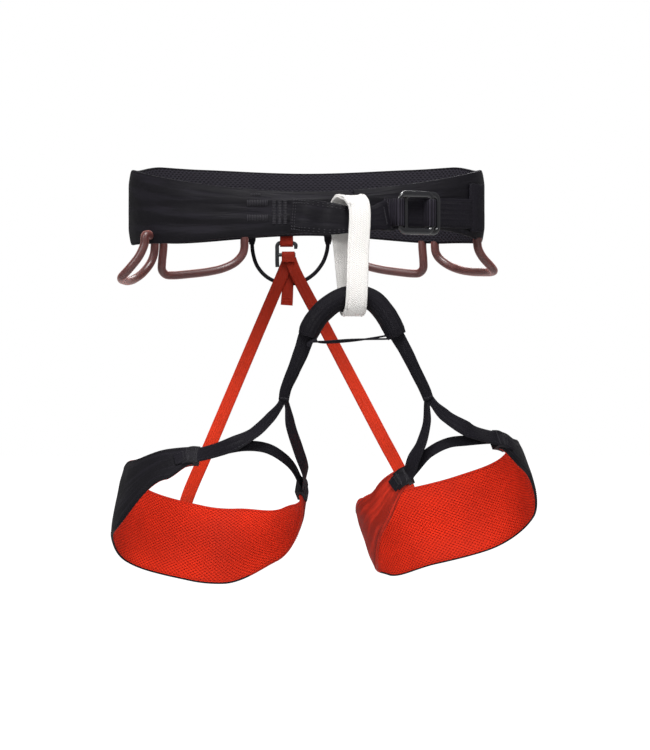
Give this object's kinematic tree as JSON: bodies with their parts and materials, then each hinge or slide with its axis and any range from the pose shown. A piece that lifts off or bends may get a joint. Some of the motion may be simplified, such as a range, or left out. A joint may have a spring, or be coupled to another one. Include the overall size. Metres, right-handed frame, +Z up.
{
  "type": "climbing harness",
  "caption": "Sit harness for rock climbing: padded waist belt with buckle, belay loop, padded bridge, leg loops on elastic risers, moulded gear loops and a haul loop.",
  "frame": {"origin": "middle of the waist opening, at the height of the belt's middle; the body inside the belt holds the harness up", "axes": "+Z up, -Y is the wearer's front where the belay loop hangs, +X is the wearer's left"},
  "size_m": [0.3789, 0.2264, 0.3771],
  "materials": {
    "black_fabric": "matt woven",
    "black_mesh": "spacer mesh",
    "black_metal": "gloss",
    "black_plastic": "satin",
    "black_webbing": "matt woven",
    "foam": "closed cell, matt",
    "gear_plastic": "translucent, glossy",
    "red_fabric": "smooth woven",
    "red_mesh": "perforated mesh",
    "red_webbing": "woven",
    "rubber_sleeve": "tough plain weave",
    "white_webbing": "woven, slight sheen"
  },
  "bodies": {
    "waist": {"buckle_base_frame": "black_metal", "rear_riser_tab": "red_webbing", "strap_keeper": "black_webbing", "tie_in_sleeve": "rubber_sleeve", "tie_in_webbing": "black_webbing", "waist_binding_bottom": "black_webbing", "waist_binding_top": "black_webbing", "waist_foam_core": "foam", "waist_mesh_liner": "black_mesh", "waist_outer_shell": "black_fabric", "waist_strap_tail": "black_webbing", "waist_web_strand_lower": "black_webbing", "waist_web_strand_upper": "black_webbing"},
    "buckle_gate": {"buckle_gate_frame": "black_metal"},
    "gear_loop_front_left": {"gear_loop_front_left": "gear_plastic"},
    "gear_loop_rear_left": {"gear_loop_rear_left": "gear_plastic"},
    "gear_loop_front_right": {"gear_loop_front_right": "gear_plastic"},
    "gear_loop_rear_right": {"gear_loop_rear_right": "gear_plastic"},
    "haul_loop": {"haul_loop": "black_webbing"},
    "belay_loop": {"belay_loop": "white_webbing"},
    "leg_bridge": {"bridge_keeper_cord": "black_webbing", "bridge_leg_left": "black_webbing", "bridge_leg_right": "black_webbing", "bridge_sleeve": "rubber_sleeve"},
    "leg_left": {"leg_left_binding_bottom": "red_webbing", "leg_left_binding_top": "red_webbing", "leg_left_cuff_inner": "black_webbing", "leg_left_cuff_outer": "black_webbing", "leg_left_elastic_band": "black_webbing", "leg_left_foam_core": "foam", "leg_left_inner_panel": "red_fabric", "leg_left_mesh_liner": "red_mesh", "leg_left_outer_shell": "black_fabric", "leg_left_strap_inner": "black_webbing", "leg_left_strap_outer": "black_webbing", "leg_left_web_strand": "black_webbing"},
    "leg_right": {"leg_right_binding_bottom": "red_webbing", "leg_right_binding_top": "red_webbing", "leg_right_cuff_inner": "black_webbing", "leg_right_cuff_outer": "black_webbing", "leg_right_elastic_band": "black_webbing", "leg_right_foam_core": "foam", "leg_right_inner_panel": "red_fabric", "leg_right_mesh_liner": "red_mesh", "leg_right_outer_shell": "black_fabric", "leg_right_strap_inner": "black_webbing", "leg_right_strap_outer": "black_webbing", "leg_right_web_strand": "black_webbing"},
    "risers": {"riser_clip": "black_plastic", "riser_left": "red_webbing", "riser_right": "red_webbing", "riser_tail": "red_webbing", "riser_top_eye": "red_webbing"}
  },
  "joints": [
    {"name": "belay_loop_swing", "type": "hinge", "parent": "waist", "child": "belay_loop", "pos_m": [0.037, -0.105, -0.017], "axis": [1, 0, 0], "range_deg": [-12, 6]},
    {"name": "leg_bridge_pivot", "type": "hinge", "parent": "belay_loop", "child": "leg_bridge", "pos_m": [0.041, -0.105, -0.084], "axis": [1, 0, 0], "range_deg": [-6, 12]},
    {"name": "riser_swing", "type": "hinge", "parent": "waist", "child": "risers", "pos_m": [-0.019, 0.0885, -0.0275], "axis": [1, 0, 0], "range_deg": [-3.3, 1.7]},
    {"name": "leg_left_swing", "type": "hinge", "parent": "leg_bridge", "child": "leg_left", "pos_m": [-0.0185, -0.0963, -0.1705], "axis": [-0.3913, 0.8, -0.4548], "range_deg": [-7, 7]},
    {"name": "leg_right_swing", "type": "hinge", "parent": "leg_bridge", "child": "leg_right", "pos_m": [0.1045, -0.0962, -0.17], "axis": [-0.036, 0.8964, -0.4417], "range_deg": [-7, 7]},
    {"name": "gear_loop_front_left_swing", "type": "hinge", "parent": "waist", "child": "gear_loop_front_left", "pos_m": [-0.13749, -0.00499, -0.03054], "axis": [0.0224, 0.9977, -0.064], "range_deg": [0, 35], "stiffness_Nm_per_rad": 0.15},
    {"name": "gear_loop_rear_left_swing", "type": "hinge", "parent": "waist", "child": "gear_loop_rear_left", "pos_m": [-0.09327, 0.06194, -0.03029], "axis": [0.907, 0.4148, 0.0722], "range_deg": [0, 40], "stiffness_Nm_per_rad": 0.15},
    {"name": "gear_loop_front_right_swing", "type": "hinge", "parent": "waist", "child": "gear_loop_front_right", "pos_m": [0.13247, 0.01822, -0.03286], "axis": [0.4122, -0.9111, -0.0084], "range_deg": [0, 35], "stiffness_Nm_per_rad": 0.15},
    {"name": "gear_loop_rear_right_swing", "type": "hinge", "parent": "waist", "child": "gear_loop_rear_right", "pos_m": [0.07074, 0.07194, -0.02888], "axis": [0.9544, -0.2849, -0.0892], "range_deg": [0, 40], "stiffness_Nm_per_rad": 0.15},
    {"name": "haul_loop_swing", "type": "hinge", "parent": "waist", "child": "haul_loop", "pos_m": [-0.016, 0.0984, -0.0255], "axis": [1, 0, 0], "range_deg": [-2, 60]},
    {"name": "buckle_gate_tilt", "type": "hinge", "parent": "waist", "child": "buckle_gate", "pos_m": [0.10717, -0.07319, -0.0105], "axis": [0, 0, 1], "range_deg": [0, 25]}
  ],
  "couplings": [
    {"joint": "leg_bridge_pivot", "follows": "belay_loop_swing", "ratio": -1},
    {"joint": "riser_swing", "follows": "belay_loop_swing", "ratio": 0.27}
  ]
}
